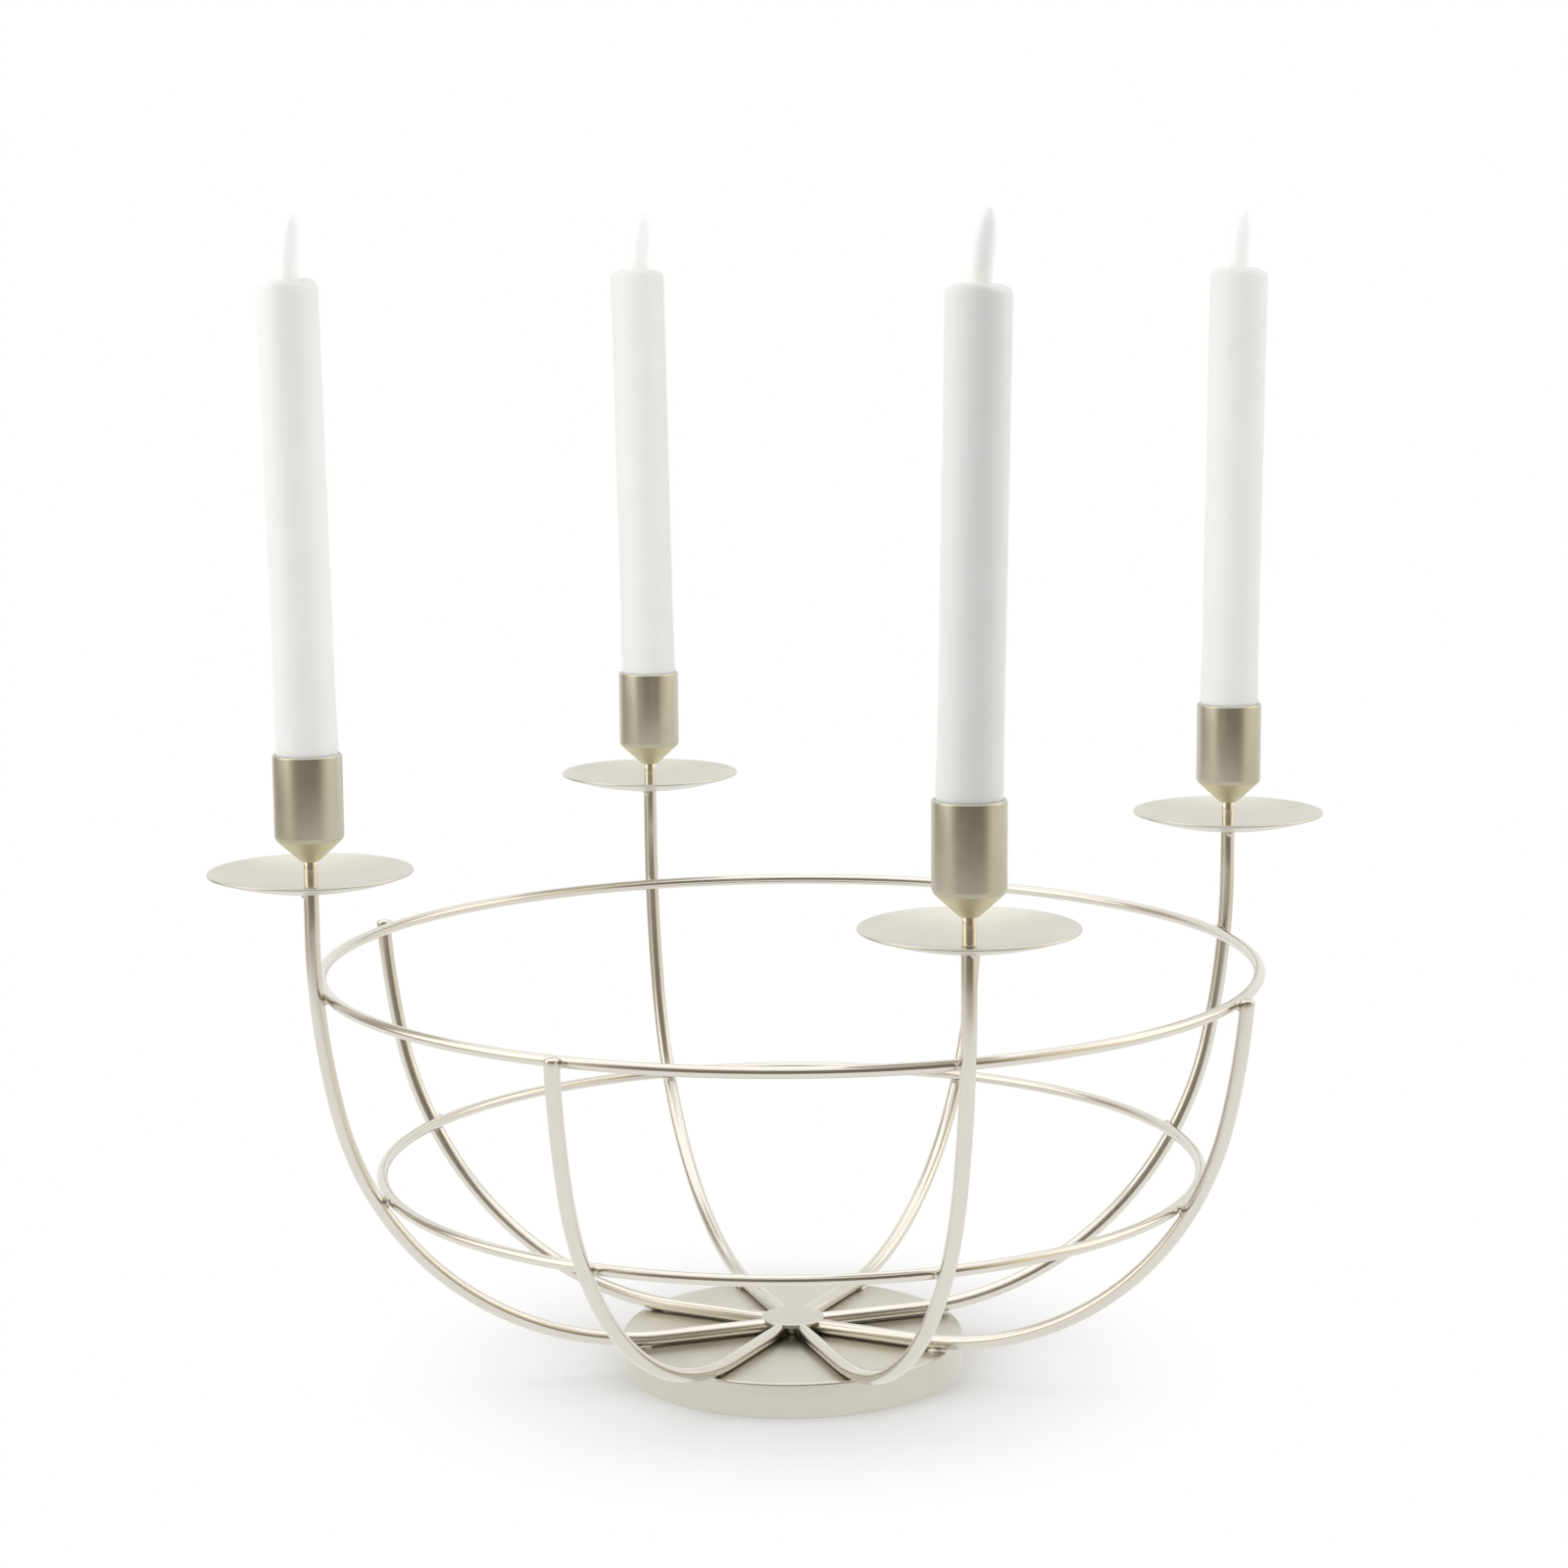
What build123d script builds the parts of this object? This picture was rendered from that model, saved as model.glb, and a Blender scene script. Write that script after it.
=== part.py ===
"""Advent candle holder: a welded wire bowl on a round foot, with four battery candles in cups on its stems.

The origin is the centre of the foot on the table, and +Z points up.
Long ribs lie along the X and Y axes, and short ribs lie half-way between them.
Every length is in millimetres and every angle in degrees.
"""
import os
from math import acos, asin, cos, degrees, radians, sin, sqrt

from build123d import *

os.makedirs("parts", exist_ok=True)

# Places round the holder
places = 4

# Wires, the root gap that a weld leaves between them, and the gap below a piece that rests on another
rib_wire = 5.2
ring_wire = 4.0
weld_gap = 0.1
seat_gap = 0.1

# Foot and hub
base_diameter = 124.0
base_height = 12.5
base_sheet = 1.5
base_edge_radius = 0.9
hub_diameter = 22.9
hub_plate = 1.5
hub_post_diameter = 13.0
hub_edge_radius = 0.4

# Ribs: a flat run on the foot, a tight bend for the bowl, a gentle bend for its wall, then a straight stem
rib_run_radius = 49.0
bowl_bend_radius = 120.0
bowl_bend_angle = 76.8
wall_bend_radius = 285.0
stem_length = 14.7
short_rib_rise = 0.5

# Rings: the lower one above the ribs' flat run, the upper one below the start of the stems
lower_ring_rise = 60.5
upper_ring_drop = 23.6

# Drip dish, part of a sphere
dish_diameter = 70.8
dish_bowl_radius = 104.0
dish_sheet = 0.9

# Screw that ties cup, sleeve and dish to the stem
screw_diameter = 3.0
screw_head_diameter = 5.6
screw_head_height = 1.8
screw_grip = 7.0
screw_clearance = 0.1
screw_head_clearance = 0.3
drill_overrun = 0.6

# Neck sleeve
neck_wall = 0.75
neck_length = 9.2

# Candle cup
cup_height = 29.2
cup_wall = 1.0
cup_floor = 1.3
cup_rim_radius = 0.45
cup_corner_radius = 1.2
cone_height = 8.0
cone_tip_step = 0.8

# Candle: a little thicker at its foot, which fills the cup
candle_diameter = 20.9
candle_foot_diameter = 21.4
candle_foot_length = 30.0
candle_flare_length = 14.0
candle_length = 188.0
candle_clearance = 0.2
candle_seat_gap = 0.2
candle_shoulder_radius = 2.2
candle_top_rise = 0.3

# Flame tip
flame_height = 21.0
flame_belly_share = 0.45
flame_belly_swell = 0.3
flame_tip_diameter = 2.4
flame_tip_radius = 1.6
flame_stem_diameter = 4.9
flame_stem_length = 5.6
flame_foot_step = 1.1
flame_clearance = 0.25

# Lamp and its board
board_thickness = 1.2
lamp_body_height = 2.6
lamp_clearance = 0.3
lamp_gap = 3.2

# Cells
cell_diameter = 14.2
cell_length = 49.0
cell_clearance = 0.3
cell_nub_diameter = 5.5
cell_nub_height = 1.0
cells_in_candle = 2

# Contact plate above the cells, and the two leads from it to the lamp board
contact_thickness = 1.0
lead_diameter = 1.1
lead_spacing = 6.0

# Battery cap with its switch
cap_web = 1.2
cap_flange_inset = 0.3
cap_plug_height = 6.0
cap_turn_gap = 0.2
switch_pocket_length = 8.0
switch_pocket_width = 4.4
switch_pocket_depth = 2.0
switch_travel = 3.0
switch_clearance = 0.2

# Ribs, worked out
place_angle = 360 / places
rib_height = base_height + weld_gap + rib_wire / 2
rib_start_radius = hub_diameter / 2 + weld_gap
wall_bend_angle = 90 - bowl_bend_angle
bend_sine = sin(radians(bowl_bend_angle))
bend_cosine = cos(radians(bowl_bend_angle))
bowl_end_radius = rib_run_radius + bowl_bend_radius * bend_sine
bowl_end_height = rib_height + bowl_bend_radius * (1 - bend_cosine)
wall_centre_radius = bowl_end_radius - wall_bend_radius * bend_sine
stem_foot_height = bowl_end_height + wall_bend_radius * bend_cosine
stem_top_height = stem_foot_height + stem_length
stem_radius = wall_centre_radius + wall_bend_radius

# Rings, and the short ribs, whose last bend is worked out from the height of their ends
lower_ring_height = rib_height + lower_ring_rise
upper_ring_height = stem_foot_height - upper_ring_drop
short_rib_top = upper_ring_height + ring_wire / 2 + short_rib_rise
short_rib_end_angle = degrees(acos((stem_foot_height - short_rib_top) / wall_bend_radius))
short_rib_wall_angle = short_rib_end_angle - bowl_bend_angle

# Radii of the pieces that fit into each other
screw_hole_radius = screw_diameter / 2 + screw_clearance
neck_radius = screw_hole_radius + neck_wall
cone_tip_radius = neck_radius + cone_tip_step
candle_radius = candle_diameter / 2
candle_foot_radius = candle_foot_diameter / 2
cup_bore_radius = candle_foot_radius + candle_clearance
cup_radius = cup_bore_radius + cup_wall
cell_radius = cell_diameter / 2
candle_bore_radius = cell_radius + cell_clearance
flame_stem_radius = flame_stem_diameter / 2
flame_foot_radius = flame_stem_radius + flame_foot_step
flame_belly_radius = flame_foot_radius + flame_belly_swell
flame_hole_radius = flame_stem_radius + flame_clearance
lamp_radius = flame_hole_radius - lamp_clearance
cap_radius = candle_radius - cap_flange_inset
cap_plug_radius = candle_bore_radius - cell_clearance

# Heights up one candle place, from the end of the stem to the tip of the flame
dish_floor_height = stem_top_height + seat_gap + dish_sheet
neck_foot_height = dish_floor_height + seat_gap
cone_tip_height = neck_foot_height + neck_length + seat_gap
cup_side_height = cone_tip_height + cone_height
cup_rim_height = cup_side_height + cup_height
cup_floor_height = cup_side_height + cup_floor
candle_foot_height = cup_floor_height + candle_seat_gap
pocket_top_height = candle_foot_height + switch_pocket_depth
cap_plug_foot_height = pocket_top_height + cap_web
cells_foot_height = cap_plug_foot_height + cap_plug_height + cell_clearance
cell_pitch = cell_length + cell_nub_height + seat_gap
contact_foot_height = cells_foot_height + cells_in_candle * cell_pitch
lead_foot_height = contact_foot_height + contact_thickness + seat_gap
candle_top_height = candle_foot_height + candle_length
crest_height = candle_top_height + candle_top_rise
flame_foot_height = crest_height + seat_gap
flame_tip_height = flame_foot_height + flame_height
flame_stem_height = flame_foot_height - flame_stem_length
board_top_height = flame_stem_height - lamp_gap - lamp_radius - lamp_body_height
board_foot_height = board_top_height - board_thickness
crown_height = board_top_height + seat_gap

# The drawing plane and the axis of the candle place on +X: x is the distance from its axis, y is the height
place_plane = Plane((stem_radius, 0, 0), x_dir=(1, 0, 0), z_dir=(0, -1, 0))
place_axis = Axis((stem_radius, 0, 0), (0, 0, 1))


def write_piece(part, name):
    """Labels a piece and writes it under its own name."""
    part.label = name
    export_step(part, f"parts/{name}.step")


def write_round(part, name, first_angle=0):
    """Writes one copy of a piece for each place round the holder."""
    for number in range(places):
        write_piece(part.rotate(Axis.Z, first_angle + number * place_angle), f"{name}_{number + 1}")


def draw_bends(last_angle):
    """Draws a rib's flat run and its two bends, the last one through this angle, and gives the last one."""
    flat_run = Line((rib_start_radius, rib_height), (rib_run_radius, rib_height))
    bowl_bend = JernArc(flat_run @ 1, flat_run % 1, bowl_bend_radius, bowl_bend_angle)
    return JernArc(bowl_bend @ 1, bowl_bend % 1, wall_bend_radius, last_angle)


def ring_radius(height):
    """Gives the radius of a ring at this height that lies against the inner side of every rib."""
    contact = (rib_wire + ring_wire) / 2 + weld_gap
    if height < bowl_end_height:
        drop = rib_height + bowl_bend_radius - height
        return rib_run_radius + sqrt((bowl_bend_radius - contact) ** 2 - drop**2)
    drop = stem_foot_height - height
    return wall_centre_radius + sqrt((wall_bend_radius - contact) ** 2 - drop**2)


# Foot: a pressed pan, open below
with BuildPart() as base_pan:
    with BuildSketch():
        Circle(base_diameter / 2)
    extrude(amount=base_height)
    offset(amount=-base_sheet, openings=base_pan.faces().sort_by(Axis.Z)[0])
    fillet(base_pan.edges().group_by(Axis.Z)[-1], base_edge_radius)
write_piece(base_pan.part, "base_pan")

# Hub: a thin plate, level with the ribs that end on its side, on a narrower post
hub_foot_height = base_height + weld_gap
hub_plate_height = hub_foot_height + rib_wire - hub_plate
with BuildPart() as hub_disc:
    with BuildSketch(Plane.XY.offset(hub_foot_height)):
        Circle(hub_post_diameter / 2)
    extrude(amount=hub_plate_height - hub_foot_height)
    with BuildSketch(Plane.XY.offset(hub_plate_height)):
        Circle(hub_diameter / 2)
    extrude(amount=hub_plate)
    fillet(hub_disc.edges().group_by(Axis.Z)[-1], hub_edge_radius)
write_piece(hub_disc.part, "hub_disc")

# Long ribs: the wire goes on up as a stem, and its end is drilled for the cup's screw
with BuildPart() as long_rib:
    with BuildLine(Plane.XZ) as long_rib_path:
        wall_bend = draw_bends(wall_bend_angle)
        Line(wall_bend @ 1, (stem_radius, stem_top_height))
    with BuildSketch(Plane(long_rib_path.line @ 0, z_dir=long_rib_path.line % 0)):
        Circle(rib_wire / 2)
    sweep()
    with Locations((stem_radius, 0, stem_top_height)):
        Hole(screw_hole_radius, screw_grip + drill_overrun)
write_round(long_rib.part, "long_rib")

# Short ribs: the same bends, cut off just above the upper ring
with BuildPart() as short_rib:
    with BuildLine(Plane.XZ) as short_rib_path:
        draw_bends(short_rib_wall_angle)
    with BuildSketch(Plane(short_rib_path.line @ 0, z_dir=short_rib_path.line % 0)):
        Circle(rib_wire / 2)
    sweep()
write_round(short_rib.part, "short_rib", place_angle / 2)

# Rings: closed hoops welded inside the ribs
for ring_name, ring_height in (("lower_ring", lower_ring_height), ("upper_ring", upper_ring_height)):
    with BuildPart() as ring:
        with BuildSketch(Plane.XZ):
            with Locations((ring_radius(ring_height), ring_height)):
                Circle(ring_wire / 2)
        revolve(axis=Axis.Z)
    write_piece(ring.part, ring_name)

# Drip dish: a thin spherical dish with a hole in its middle
with BuildPart() as drip_dish:
    dish_centre = (0, dish_floor_height + dish_bowl_radius)
    dish_back_radius = dish_bowl_radius + dish_sheet
    rim_angle = degrees(asin(dish_diameter / 2 / dish_back_radius))
    face_hole_angle = degrees(asin(screw_hole_radius / dish_bowl_radius))
    back_hole_angle = degrees(asin(screw_hole_radius / dish_back_radius))
    with BuildSketch(place_plane):
        with BuildLine():
            face = CenterArc(dish_centre, dish_bowl_radius, face_hole_angle - 90, rim_angle - face_hole_angle)
            back = CenterArc(dish_centre, dish_back_radius, back_hole_angle - 90, rim_angle - back_hole_angle)
            Line(face @ 0, back @ 0)
            Line(face @ 1, back @ 1)
        make_face()
    revolve(axis=place_axis)
write_round(drip_dish.part, "drip_dish")

# Neck sleeve: a turned tube between the dish and the cup
with BuildPart() as neck_sleeve:
    with BuildSketch(Plane.XY.offset(neck_foot_height)):
        with Locations((stem_radius, 0)):
            Circle(neck_radius)
            Circle(screw_hole_radius, mode=Mode.SUBTRACT)
    extrude(amount=neck_length)
write_round(neck_sleeve.part, "neck_sleeve")

# Candle cup: a turned cup on a cone, with a sunk seat for the screw's head in its floor
head_seat_radius = screw_head_diameter / 2 + screw_head_clearance
head_seat_height = cup_floor_height - screw_head_height - screw_head_clearance
with BuildPart() as candle_cup:
    with BuildSketch(place_plane) as cup_profile:
        with BuildLine():
            Polyline(
                (screw_hole_radius, cone_tip_height),
                (cone_tip_radius, cone_tip_height),
                (cup_radius, cup_side_height),
                (cup_radius, cup_rim_height),
                (cup_bore_radius, cup_rim_height),
                (cup_bore_radius, cup_floor_height),
                (head_seat_radius, cup_floor_height),
                (head_seat_radius, head_seat_height),
                (screw_hole_radius, head_seat_height),
                close=True,
            )
        make_face()
        fillet(cup_profile.vertices().group_by(Axis.X)[-1].sort_by(Axis.Y)[-1], cup_rim_radius)
        fillet(cup_profile.vertices().group_by(Axis.X)[-1].sort_by(Axis.Y)[0], cup_corner_radius)
    revolve(axis=place_axis)
write_round(candle_cup.part, "candle_cup")

# Cup screws: one node, with a screw for each cup
head_foot_height = head_seat_height + seat_gap
with BuildPart() as cup_screw:
    with BuildSketch(place_plane):
        with BuildLine():
            Polyline(
                (0, stem_top_height - screw_grip),
                (screw_diameter / 2, stem_top_height - screw_grip),
                (screw_diameter / 2, head_foot_height),
                (screw_head_diameter / 2, head_foot_height),
                (screw_head_diameter / 2, head_foot_height + screw_head_height),
                (0, head_foot_height + screw_head_height),
                close=True,
            )
        make_face()
    revolve(axis=place_axis)
with BuildPart() as cup_screws:
    with PolarLocations(0, places):
        add(cup_screw.part)
write_piece(cup_screws.part, "cup_screws")

# Candle body: a wax-coated tube, open below and thicker there, with a rounded shoulder and a rising top
with BuildPart() as candle_body:
    body_foot_height = cap_plug_foot_height + cap_turn_gap
    flare_foot_height = candle_foot_height + candle_foot_length
    shoulder_foot = (candle_radius, candle_top_height - candle_shoulder_radius)
    shoulder_top = (candle_radius - candle_shoulder_radius, candle_top_height)
    with BuildSketch(place_plane):
        with BuildLine():
            TangentArc(shoulder_foot, shoulder_top, tangent=(0, 1))
            Polyline(
                shoulder_top,
                (flame_hole_radius, crest_height),
                (flame_hole_radius, crown_height),
                (candle_bore_radius, crown_height),
                (candle_bore_radius, body_foot_height),
                (candle_foot_radius, body_foot_height),
                (candle_foot_radius, flare_foot_height),
                (candle_radius, flare_foot_height + candle_flare_length),
                shoulder_foot,
            )
        make_face()
    revolve(axis=place_axis)
write_round(candle_body.part, "candle_body")

# Flame tip: a leaf with a blunt tip, on a round stem that plugs into the candle
with BuildPart() as candle_flame:
    flame_foot = (flame_foot_radius, flame_foot_height)
    belly = (flame_belly_radius, flame_foot_height + flame_height * flame_belly_share)
    flame_tip = (flame_tip_diameter / 2, flame_tip_height)
    with BuildSketch(place_plane) as flame_profile:
        with BuildLine():
            TangentArc(belly, flame_foot, tangent=(0, -1))
            TangentArc(belly, flame_tip, tangent=(0, 1))
            Polyline(
                flame_tip,
                (0, flame_tip_height),
                (0, flame_stem_height),
                (flame_stem_radius, flame_stem_height),
                (flame_stem_radius, flame_foot_height),
                flame_foot,
            )
        make_face()
        fillet(flame_profile.vertices().group_by(Axis.Y)[-1].sort_by(Axis.X)[-1], flame_tip_radius)
    revolve(axis=place_axis)
write_round(candle_flame.part, "candle_flame")

# Lamp board: a round board under the crown, with a domed lamp that reaches up below the flame's stem
with BuildPart() as led_board:
    dome_foot = (lamp_radius, board_top_height + lamp_body_height)
    dome_top = (0, board_top_height + lamp_body_height + lamp_radius)
    with BuildSketch(place_plane):
        with BuildLine():
            Polyline(
                dome_top,
                (0, board_foot_height),
                (cell_radius, board_foot_height),
                (cell_radius, board_top_height),
                (lamp_radius, board_top_height),
                dome_foot,
            )
            TangentArc(dome_foot, dome_top, tangent=(0, 1))
        make_face()
    revolve(axis=place_axis)
write_round(led_board.part, "led_board")

# Cells: end to end in the candle's bore, standing on the battery cap
with BuildPart() as battery_cells:
    for cell in range(cells_in_candle):
        cell_foot = cells_foot_height + cell * cell_pitch
        with BuildSketch(Plane.XY.offset(cell_foot)):
            with Locations((stem_radius, 0)):
                Circle(cell_radius)
        extrude(amount=cell_length)
        with BuildSketch(Plane.XY.offset(cell_foot + cell_length)):
            with Locations((stem_radius, 0)):
                Circle(cell_nub_diameter / 2)
        extrude(amount=cell_nub_height)
write_round(battery_cells.part, "battery_cells")

# Contact plate: a disc on the top cell's nub
with BuildPart() as contact_plate:
    with BuildSketch(Plane.XY.offset(contact_foot_height)):
        with Locations((stem_radius, 0)):
            Circle(cell_radius)
    extrude(amount=contact_thickness)
write_round(contact_plate.part, "contact_plate")

# Lamp leads: two straight wires from the contact plate up to the lamp board
with BuildPart() as lamp_leads:
    with BuildSketch(Plane.XY.offset(lead_foot_height)):
        with Locations((stem_radius, -lead_spacing / 2), (stem_radius, lead_spacing / 2)):
            Circle(lead_diameter / 2)
    extrude(amount=board_foot_height - seat_gap - lead_foot_height)
write_round(lamp_leads.part, "lamp_leads")

# Battery cap: the candle's turning foot, with a plug in the bore and a pocket for the switch below
with BuildPart() as battery_cap:
    with BuildSketch(Plane.XY.offset(candle_foot_height)):
        with Locations((stem_radius, 0)):
            Circle(cap_radius)
            Rectangle(switch_pocket_width, switch_pocket_length, mode=Mode.SUBTRACT)
    extrude(amount=switch_pocket_depth)
    with BuildSketch(Plane.XY.offset(pocket_top_height)):
        with Locations((stem_radius, 0)):
            Circle(cap_radius)
    extrude(amount=cap_web)
    with BuildSketch(Plane.XY.offset(cap_plug_foot_height)):
        with Locations((stem_radius, 0)):
            Circle(cap_plug_radius)
    extrude(amount=cap_plug_height)
write_round(battery_cap.part, "battery_cap")

# Switch slider: a small block that slides along the pocket in the cap
with BuildPart() as switch_slider:
    slider_width = switch_pocket_width - 2 * switch_clearance
    slider_length = switch_pocket_length - switch_travel - 2 * switch_clearance
    with BuildSketch(Plane.XY.offset(candle_foot_height + switch_clearance)):
        with Locations((stem_radius, -switch_travel / 2)):
            Rectangle(slider_width, slider_length)
    extrude(amount=switch_pocket_depth - 2 * switch_clearance)
write_round(switch_slider.part, "switch_slider")

print(f"stem radius {stem_radius:.2f}, stem top {stem_top_height:.2f}")
print(f"upper ring radius {ring_radius(upper_ring_height):.2f} at {upper_ring_height:.2f}")
print(f"lower ring radius {ring_radius(lower_ring_height):.2f} at {lower_ring_height:.2f}")
print(f"cup floor {cup_floor_height:.2f}, cup rim {cup_rim_height:.2f}, candle top {candle_top_height:.2f}")
print(f"contact plate {contact_foot_height:.2f}, lamp board {board_foot_height:.2f}")
print(f"flame tip {flame_tip_height:.2f}")
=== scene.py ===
# %% [markdown]
# # An advent candle holder, dressed for its picture
# The holder is a bowl of bent and welded steel wire on a pressed foot. Four of its wires rise as
# stems, and each stem carries a drip dish, a short brass neck and a turned cup with a battery candle.
# The CAD frame gives every place and size. This lesson remodels the pieces that the eye rests on,
# gives each of them its finish, and then sets up a plain studio with a camera at the photo's angle.

# %% Load the frame
from math import asin, cos, pi, radians, sin, sqrt

import bmesh
import bpy
from mathutils import Matrix, Vector


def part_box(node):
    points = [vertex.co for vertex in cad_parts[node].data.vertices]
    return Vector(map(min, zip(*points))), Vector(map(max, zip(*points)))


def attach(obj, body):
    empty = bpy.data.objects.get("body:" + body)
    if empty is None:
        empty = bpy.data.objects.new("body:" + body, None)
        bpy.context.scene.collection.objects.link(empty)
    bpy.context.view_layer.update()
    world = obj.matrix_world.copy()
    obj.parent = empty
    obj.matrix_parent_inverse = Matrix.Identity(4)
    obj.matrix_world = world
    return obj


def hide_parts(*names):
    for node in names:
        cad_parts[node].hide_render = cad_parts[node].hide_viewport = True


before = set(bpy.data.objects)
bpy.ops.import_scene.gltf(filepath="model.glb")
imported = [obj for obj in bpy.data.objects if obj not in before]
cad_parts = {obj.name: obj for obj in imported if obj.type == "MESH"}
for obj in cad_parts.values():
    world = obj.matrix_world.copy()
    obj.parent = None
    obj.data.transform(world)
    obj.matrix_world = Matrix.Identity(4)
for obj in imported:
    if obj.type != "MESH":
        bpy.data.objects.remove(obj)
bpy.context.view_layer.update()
mm = 0.001

# %% [markdown]
# ## Sizes
# Most places are read from the boxes of the CAD nodes, so they follow the frame. A box can't tell how a
# wire is bent, so the wire thickness and the two bends of a rib are named here, as the maker's drawing
# would name them.

# %% Sizes of the wires, and places from the frame
rib_radius = 2.6 * mm
ring_radius = 2.0 * mm
run_end = 49.0 * mm
bowl_bend = 120.0 * mm
bowl_angle = radians(76.8)
wall_bend = 285.0 * mm
quarter = pi / 2
places = (1, 2, 3, 4)

rib_low, rib_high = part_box("long_rib_1")
cup_low, cup_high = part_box("candle_cup_1")
stem_place = (cup_low.x + cup_high.x) / 2
run_height = rib_low.z + rib_radius
print("Stems stand at", round(stem_place / mm, 2), "mm, wires run at", round(run_height / mm, 2), "mm")

# %% [markdown]
# ## Working with operators
# Modelling operators act on whatever is selected, so every piece starts with nothing selected. A new
# primitive has its place put into its mesh at once, and faces or edges are then picked by where they
# are or which way they face. That is what a hand does with a mouse, written so that it repeats.

# %% Helpers for modelling
touch = 0.01 * mm  # points closer than this count as one, or as lying on a level
level = 0.999  # a face whose normal is this upright counts as level


def fresh_start():
    """Go to object mode with nothing selected, so that an operator acts on the next piece alone."""
    if bpy.context.mode != "OBJECT":
        bpy.ops.object.mode_set(mode="OBJECT")
    bpy.ops.object.select_all(action="DESELECT")


def hold(piece):
    """Select one finished or unfinished piece alone, in object mode."""
    fresh_start()
    piece.select_set(True)
    bpy.context.view_layer.objects.active = piece


def open_piece(name):
    """Name the primitive that was just added, put its place into its mesh and open it for editing."""
    piece = bpy.context.object
    piece.name = name
    piece.data.name = name
    bpy.ops.object.transform_apply()
    bpy.ops.object.mode_set(mode="EDIT")
    return piece


def pick_faces(test):
    """Select the faces that pass a test on their middle and their normal."""
    bpy.ops.mesh.select_mode(type="FACE")
    bpy.ops.mesh.select_all(action="DESELECT")
    mesh = bpy.context.edit_object.data
    shape = bmesh.from_edit_mesh(mesh)
    shape.normal_update()
    for face in shape.faces:
        face.select_set(test(face.calc_center_median(), face.normal))
    bmesh.update_edit_mesh(mesh)


def faces_up(middle, normal):
    """A test for pick_faces: level, and seen from above."""
    return normal.z > level


def faces_down(middle, normal):
    """A test for pick_faces: level, and seen from below."""
    return normal.z < -level


def pick_edges(test):
    """Select the edges whose two ends both pass a test on their place."""
    bpy.ops.mesh.select_mode(type="EDGE")
    bpy.ops.mesh.select_all(action="DESELECT")
    mesh = bpy.context.edit_object.data
    shape = bmesh.from_edit_mesh(mesh)
    for edge in shape.edges:
        edge.select_set(all(test(corner.co) for corner in edge.verts))
    bmesh.update_edit_mesh(mesh)


def extrude(move):
    """Extrude what is selected, and move the new part."""
    bpy.ops.mesh.extrude_region_move(TRANSFORM_OT_translate={"value": move})


def use_modifier(piece, kind, **settings):
    """Add one modifier, set it and apply it."""
    hold(piece)
    modifier = piece.modifiers.new(kind.title(), kind)
    for name, value in settings.items():
        setattr(modifier, name, value)
    bpy.ops.object.modifier_apply(modifier=modifier.name)


def break_edges(piece, width, segments, sharp=60):
    """Round every edge of a piece that turns by more than an angle in degrees."""
    use_modifier(piece, "BEVEL", width=width, segments=segments, limit_method="ANGLE",
                 angle_limit=radians(sharp))


def finish_piece(piece, finish, body, *nodes, crease=40, slot=None):
    """Smooth a piece, give it its finish, put it on its body and let it stand in for its CAD nodes."""
    hold(piece)
    bpy.ops.object.shade_smooth_by_angle(angle=radians(crease))
    piece.data.materials.clear()
    piece.data.materials.append(finish)
    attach(piece, body)
    if nodes:
        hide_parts(*nodes)
    low = [min(point.co[axis] for point in piece.data.vertices) / mm for axis in range(3)]
    high = [max(point.co[axis] for point in piece.data.vertices) / mm for axis in range(3)]
    print(piece.name, "spans", [round(side, 1) for side in low], [round(side, 1) for side in high])


# %% [markdown]
# ## Making finishes
# A finish is a small tree of nodes. One function adds a node with its settings and links, and another
# turns the hex colours that a painter would note down into the linear values that the shader needs.
# Patterns read Object coordinates, and their scale is one over a real size.

# %% Helpers for finishes


def colour(code):
    """Turn an sRGB hex colour into the linear colour with alpha that a shader socket takes."""
    shares = [int(code[at:at + 2], 16) / 255 for at in (1, 3, 5)]
    return [s / 12.92 if s <= 0.04045 else ((s + 0.055) / 1.055) ** 2.4 for s in shares] + [1.0]


def fill_sockets(tree, node, sockets):
    """Link the input sockets of a node, or set them to constants, by name or number."""
    for name, value in sockets.items():
        if isinstance(value, bpy.types.NodeSocket):
            tree.links.new(value, node.inputs[name])
        else:
            node.inputs[name].default_value = value


def add_node(tree, kind, sockets, **settings):
    """Add one node, set its properties and fill its sockets."""
    node = tree.nodes.new(kind)
    for name, value in settings.items():
        setattr(node, name, value)
    fill_sockets(tree, node, sockets)
    return node


def new_finish(name):
    """Start a material and return it with its node tree, its shader and the Object coordinates."""
    finish = bpy.data.materials.get(name) or bpy.data.materials.new(name)
    finish.use_nodes = True
    tree = finish.node_tree
    tree.nodes.clear()
    shader = add_node(tree, "ShaderNodeBsdfPrincipled", {})
    add_node(tree, "ShaderNodeOutputMaterial", {"Surface": shader.outputs[0]})
    coords = add_node(tree, "ShaderNodeTexCoord", {}).outputs["Object"]
    return finish, tree, shader, coords


# %% [markdown]
# ## Champagne steel, satin and drawn
# The dishes and the foot are sheet steel, blasted satin and then plated in a pale nickel gold. The eye
# gets a soft, nearly white sheen with a warm tint, slightly cloudy where the plating is thicker. The wires
# have the same plating over drawn steel, which is smoother, so they show light and dark lines along their
# length. One function makes both: a metal whose roughness and tint follow a cloudy noise, with a fine
# grain as bump.

# %% Finishes: satin champagne sheet and drawn champagne wire


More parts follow.
